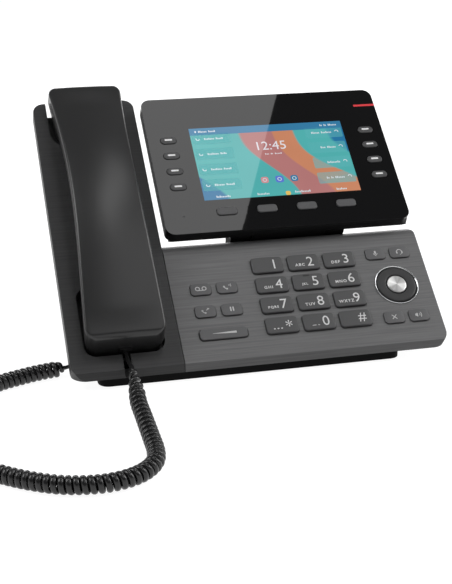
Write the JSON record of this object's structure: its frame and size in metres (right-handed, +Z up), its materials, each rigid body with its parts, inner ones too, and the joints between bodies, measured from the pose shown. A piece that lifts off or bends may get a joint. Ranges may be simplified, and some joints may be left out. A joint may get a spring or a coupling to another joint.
{
  "type": "desk ip phone",
  "caption": "Desk IP phone with a sloped keypad, lift-off handset on a curly cord, tilting colour display with side keys, and a rear stand.",
  "frame": {"origin": "middle of the footprint of the standing phone, on the desk surface, measured without the cord", "axes": "+X to the user's right, +Y from the user towards the rear, +Z up"},
  "size_m": [0.333, 0.3134, 0.1591],
  "materials": {
    "brushed_cradle": "hairline brushed charcoal",
    "brushed_plate": "hairline brushed dark grey, lengthways",
    "case_black": "fine matt black",
    "chrome_trim": "bright",
    "circuit_board": "solder mask",
    "clear_plug": "clear",
    "cord_black": "glossy",
    "dial_key_grey": "satin with white digits",
    "display_black": "satin",
    "display_glass": "polished, backed with black",
    "function_key_grey": "satin with white symbols",
    "handset_black": "satin",
    "inner_black": "matt",
    "line_key_grey": "satin with a white light bar",
    "menu_key_grey": "satin",
    "nav_dark": "satin",
    "rubber": "matt",
    "screen": "lit picture",
    "signal_red": "unlit red lens",
    "spun_silver": "spun",
    "steel": "ground"
  },
  "bodies": {
    "base": {"base_shell": "case_black", "faceplate": "brushed_plate", "cradle_cover": "brushed_cradle", "display_bracket": "case_black", "hinge_pin": "steel", "stand": "case_black", "rubber_feet": "rubber", "main_board": "circuit_board", "loudspeaker": "inner_black", "rear_jacks": "case_black", "nav_trim": "chrome_trim", "cord_coil": "cord_black", "base_lead": "cord_black", "base_plug": "clear_plug"},
    "display": {"display_housing": "display_black", "display_glass": "display_glass", "lcd_module": "screen", "light_bar": "signal_red"},
    "handset": {"handset_back": "handset_black", "handset_face": "handset_black", "handset_capsules": "handset_black", "handset_plug": "clear_plug", "handset_lead": "cord_black"},
    "hook": {"hook_switch": "inner_black"},
    "nav_gimbal": {"nav_fulcrum": "inner_black"},
    "nav_pad": {"nav_ring": "nav_dark"},
    "nav_select": {"nav_ok": "spun_silver"},
    "volume": {"volume_rocker": "function_key_grey"},
    "line_key_1": {"line_key_1": "line_key_grey"},
    "line_key_2": {"line_key_2": "line_key_grey"},
    "line_key_3": {"line_key_3": "line_key_grey"},
    "line_key_4": {"line_key_4": "line_key_grey"},
    "line_key_5": {"line_key_5": "line_key_grey"},
    "line_key_6": {"line_key_6": "line_key_grey"},
    "line_key_7": {"line_key_7": "line_key_grey"},
    "line_key_8": {"line_key_8": "line_key_grey"},
    "menu_key_1": {"menu_key_1": "menu_key_grey"},
    "menu_key_2": {"menu_key_2": "menu_key_grey"},
    "menu_key_3": {"menu_key_3": "menu_key_grey"},
    "menu_key_4": {"menu_key_4": "menu_key_grey"},
    "dial_key_1": {"dial_key_1": "dial_key_grey"},
    "dial_key_2": {"dial_key_2": "dial_key_grey"},
    "dial_key_3": {"dial_key_3": "dial_key_grey"},
    "dial_key_4": {"dial_key_4": "dial_key_grey"},
    "dial_key_5": {"dial_key_5": "dial_key_grey"},
    "dial_key_6": {"dial_key_6": "dial_key_grey"},
    "dial_key_7": {"dial_key_7": "dial_key_grey"},
    "dial_key_8": {"dial_key_8": "dial_key_grey"},
    "dial_key_9": {"dial_key_9": "dial_key_grey"},
    "dial_key_star": {"dial_key_star": "dial_key_grey"},
    "dial_key_0": {"dial_key_0": "dial_key_grey"},
    "dial_key_hash": {"dial_key_hash": "dial_key_grey"},
    "voicemail_key": {"voicemail_key": "function_key_grey"},
    "contacts_key": {"contacts_key": "function_key_grey"},
    "transfer_key": {"transfer_key": "function_key_grey"},
    "hold_key": {"hold_key": "function_key_grey"},
    "mute_key": {"mute_key": "function_key_grey"},
    "headset_key": {"headset_key": "function_key_grey"},
    "cancel_key": {"cancel_key": "function_key_grey"},
    "speaker_key": {"speaker_key": "function_key_grey"}
  },
  "joints": [
    {"name": "display_tilt", "type": "hinge", "parent": "base", "child": "display", "pos_m": [0.03545, -0.01091, 0.06858], "axis": [1, 0, 0], "range_deg": [0, 25]},
    {"name": "handset_lift", "type": "slide", "parent": "base", "child": "handset", "axis": [0, -0.6088, 0.7934], "range_m": [0, 0.08]},
    {"name": "hook_press", "type": "slide", "parent": "base", "child": "hook", "axis": [0, -0.6088, 0.7934], "range_m": [0, 0.0035]},
    {"name": "line_key_1_press", "type": "slide", "parent": "display", "child": "line_key_1", "axis": [0, 0.6088, -0.7934], "range_m": [0, 0.0007], "stiffness_N_per_m": 600, "springref_m": -0.0006},
    {"name": "line_key_2_press", "type": "slide", "parent": "display", "child": "line_key_2", "axis": [0, 0.6088, -0.7934], "range_m": [0, 0.0007], "stiffness_N_per_m": 600, "springref_m": -0.0006},
    {"name": "line_key_3_press", "type": "slide", "parent": "display", "child": "line_key_3", "axis": [0, 0.6088, -0.7934], "range_m": [0, 0.0007], "stiffness_N_per_m": 600, "springref_m": -0.0006},
    {"name": "line_key_4_press", "type": "slide", "parent": "display", "child": "line_key_4", "axis": [0, 0.6088, -0.7934], "range_m": [0, 0.0007], "stiffness_N_per_m": 600, "springref_m": -0.0006},
    {"name": "line_key_5_press", "type": "slide", "parent": "display", "child": "line_key_5", "axis": [0, 0.6088, -0.7934], "range_m": [0, 0.0007], "stiffness_N_per_m": 600, "springref_m": -0.0006},
    {"name": "line_key_6_press", "type": "slide", "parent": "display", "child": "line_key_6", "axis": [0, 0.6088, -0.7934], "range_m": [0, 0.0007], "stiffness_N_per_m": 600, "springref_m": -0.0006},
    {"name": "line_key_7_press", "type": "slide", "parent": "display", "child": "line_key_7", "axis": [0, 0.6088, -0.7934], "range_m": [0, 0.0007], "stiffness_N_per_m": 600, "springref_m": -0.0006},
    {"name": "line_key_8_press", "type": "slide", "parent": "display", "child": "line_key_8", "axis": [0, 0.6088, -0.7934], "range_m": [0, 0.0007], "stiffness_N_per_m": 600, "springref_m": -0.0006},
    {"name": "menu_key_1_press", "type": "slide", "parent": "display", "child": "menu_key_1", "axis": [0, 0.6088, -0.7934], "range_m": [0, 0.0007], "stiffness_N_per_m": 600, "springref_m": -0.0006},
    {"name": "menu_key_2_press", "type": "slide", "parent": "display", "child": "menu_key_2", "axis": [0, 0.6088, -0.7934], "range_m": [0, 0.0007], "stiffness_N_per_m": 600, "springref_m": -0.0006},
    {"name": "menu_key_3_press", "type": "slide", "parent": "display", "child": "menu_key_3", "axis": [0, 0.6088, -0.7934], "range_m": [0, 0.0007], "stiffness_N_per_m": 600, "springref_m": -0.0006},
    {"name": "menu_key_4_press", "type": "slide", "parent": "display", "child": "menu_key_4", "axis": [0, 0.6088, -0.7934], "range_m": [0, 0.0007], "stiffness_N_per_m": 600, "springref_m": -0.0006},
    {"name": "dial_key_1_press", "type": "slide", "parent": "base", "child": "dial_key_1", "axis": [0, 0.6088, -0.7934], "range_m": [0, 0.0012], "stiffness_N_per_m": 500, "springref_m": -0.0006},
    {"name": "dial_key_2_press", "type": "slide", "parent": "base", "child": "dial_key_2", "axis": [0, 0.6088, -0.7934], "range_m": [0, 0.0012], "stiffness_N_per_m": 500, "springref_m": -0.0006},
    {"name": "dial_key_3_press", "type": "slide", "parent": "base", "child": "dial_key_3", "axis": [0, 0.6088, -0.7934], "range_m": [0, 0.0012], "stiffness_N_per_m": 500, "springref_m": -0.0006},
    {"name": "dial_key_4_press", "type": "slide", "parent": "base", "child": "dial_key_4", "axis": [0, 0.6088, -0.7934], "range_m": [0, 0.0012], "stiffness_N_per_m": 500, "springref_m": -0.0006},
    {"name": "dial_key_5_press", "type": "slide", "parent": "base", "child": "dial_key_5", "axis": [0, 0.6088, -0.7934], "range_m": [0, 0.0012], "stiffness_N_per_m": 500, "springref_m": -0.0006},
    {"name": "dial_key_6_press", "type": "slide", "parent": "base", "child": "dial_key_6", "axis": [0, 0.6088, -0.7934], "range_m": [0, 0.0012], "stiffness_N_per_m": 500, "springref_m": -0.0006},
    {"name": "dial_key_7_press", "type": "slide", "parent": "base", "child": "dial_key_7", "axis": [0, 0.6088, -0.7934], "range_m": [0, 0.0012], "stiffness_N_per_m": 500, "springref_m": -0.0006},
    {"name": "dial_key_8_press", "type": "slide", "parent": "base", "child": "dial_key_8", "axis": [0, 0.6088, -0.7934], "range_m": [0, 0.0012], "stiffness_N_per_m": 500, "springref_m": -0.0006},
    {"name": "dial_key_9_press", "type": "slide", "parent": "base", "child": "dial_key_9", "axis": [0, 0.6088, -0.7934], "range_m": [0, 0.0012], "stiffness_N_per_m": 500, "springref_m": -0.0006},
    {"name": "dial_key_star_press", "type": "slide", "parent": "base", "child": "dial_key_star", "axis": [0, 0.6088, -0.7934], "range_m": [0, 0.0012], "stiffness_N_per_m": 500, "springref_m": -0.0006},
    {"name": "dial_key_0_press", "type": "slide", "parent": "base", "child": "dial_key_0", "axis": [0, 0.6088, -0.7934], "range_m": [0, 0.0012], "stiffness_N_per_m": 500, "springref_m": -0.0006},
    {"name": "dial_key_hash_press", "type": "slide", "parent": "base", "child": "dial_key_hash", "axis": [0, 0.6088, -0.7934], "range_m": [0, 0.0012], "stiffness_N_per_m": 500, "springref_m": -0.0006},
    {"name": "voicemail_key_press", "type": "slide", "parent": "base", "child": "voicemail_key", "axis": [0, 0.6088, -0.7934], "range_m": [0, 0.0012], "stiffness_N_per_m": 500, "springref_m": -0.0006},
    {"name": "contacts_key_press", "type": "slide", "parent": "base", "child": "contacts_key", "axis": [0, 0.6088, -0.7934], "range_m": [0, 0.0012], "stiffness_N_per_m": 500, "springref_m": -0.0006},
    {"name": "transfer_key_press", "type": "slide", "parent": "base", "child": "transfer_key", "axis": [0, 0.6088, -0.7934], "range_m": [0, 0.0012], "stiffness_N_per_m": 500, "springref_m": -0.0006},
    {"name": "hold_key_press", "type": "slide", "parent": "base", "child": "hold_key", "axis": [0, 0.6088, -0.7934], "range_m": [0, 0.0012], "stiffness_N_per_m": 500, "springref_m": -0.0006},
    {"name": "mute_key_press", "type": "slide", "parent": "base", "child": "mute_key", "axis": [0, 0.6088, -0.7934], "range_m": [0, 0.0012], "stiffness_N_per_m": 500, "springref_m": -0.0006},
    {"name": "headset_key_press", "type": "slide", "parent": "base", "child": "headset_key", "axis": [0, 0.6088, -0.7934], "range_m": [0, 0.0012], "stiffness_N_per_m": 500, "springref_m": -0.0006},
    {"name": "cancel_key_press", "type": "slide", "parent": "base", "child": "cancel_key", "axis": [0, 0.6088, -0.7934], "range_m": [0, 0.0012], "stiffness_N_per_m": 500, "springref_m": -0.0006},
    {"name": "speaker_key_press", "type": "slide", "parent": "base", "child": "speaker_key", "axis": [0, 0.6088, -0.7934], "range_m": [0, 0.0012], "stiffness_N_per_m": 500, "springref_m": -0.0006},
    {"name": "nav_ok_press", "type": "slide", "parent": "base", "child": "nav_select", "axis": [0, 0.6088, -0.7934], "range_m": [0, 0.0012], "stiffness_N_per_m": 500, "springref_m": -0.0006},
    {"name": "volume_rock", "type": "hinge", "parent": "base", "child": "volume", "pos_m": [-0.0244, -0.07251, 0.01974], "axis": [0, 0.7934, 0.6088], "range_deg": [-2.5, 2.5], "stiffness_Nm_per_rad": 0.3},
    {"name": "nav_rock_up_down", "type": "hinge", "parent": "base", "child": "nav_gimbal", "pos_m": [0.0994, -0.05224, 0.03505], "axis": [1, 0, 0], "range_deg": [-2.5, 2.5], "stiffness_Nm_per_rad": 0.3},
    {"name": "nav_rock_left_right", "type": "hinge", "parent": "nav_gimbal", "child": "nav_pad", "pos_m": [0.0994, -0.05285, 0.03584], "axis": [0, 0.7934, 0.6088], "range_deg": [-2.5, 2.5], "stiffness_Nm_per_rad": 0.3}
  ],
  "couplings": [
    {"joint": "hook_press", "follows": "handset_lift", "ratio": 0.04375}
  ]
}
